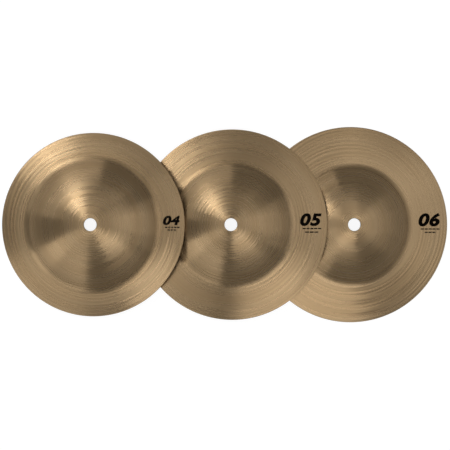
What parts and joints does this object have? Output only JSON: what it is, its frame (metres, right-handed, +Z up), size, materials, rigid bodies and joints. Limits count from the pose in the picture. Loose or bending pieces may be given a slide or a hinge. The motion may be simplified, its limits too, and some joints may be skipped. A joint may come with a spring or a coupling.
{
  "type": "bell cymbal set",
  "caption": "Lathed bronze bell cymbals in graded sizes, each with a large domed bell, narrow flange and central hole, lying fanned one on the next.",
  "frame": {"origin": "on the table, under the middle of the set's outline", "axes": "+X from the left cymbal to the right one, +Y away from the player, +Z up, the way the bells face"},
  "size_m": [0.4044, 0.1778, 0.0359],
  "materials": {
    "left_bronze": "cast bell bronze, lathed bright, fine turning rings",
    "middle_bronze": "cast bell bronze, lathed bright, fine turning rings",
    "right_bronze": "cast bell bronze, lathed bright, fine turning rings",
    "print": "thin black screen-printed ink"
  },
  "bodies": {
    "right": {"right_cymbal": "right_bronze"},
    "middle": {"middle_cymbal": "middle_bronze"},
    "left": {"left_cymbal": "left_bronze"}
  },
  "joints": [
    {"name": "middle_lift", "type": "slide", "parent": "right", "child": "middle", "axis": [0, 0, 1], "range_m": [0, 0.08]},
    {"name": "left_lift", "type": "slide", "parent": "middle", "child": "left", "axis": [0, 0, 1], "range_m": [0, 0.08]}
  ]
}
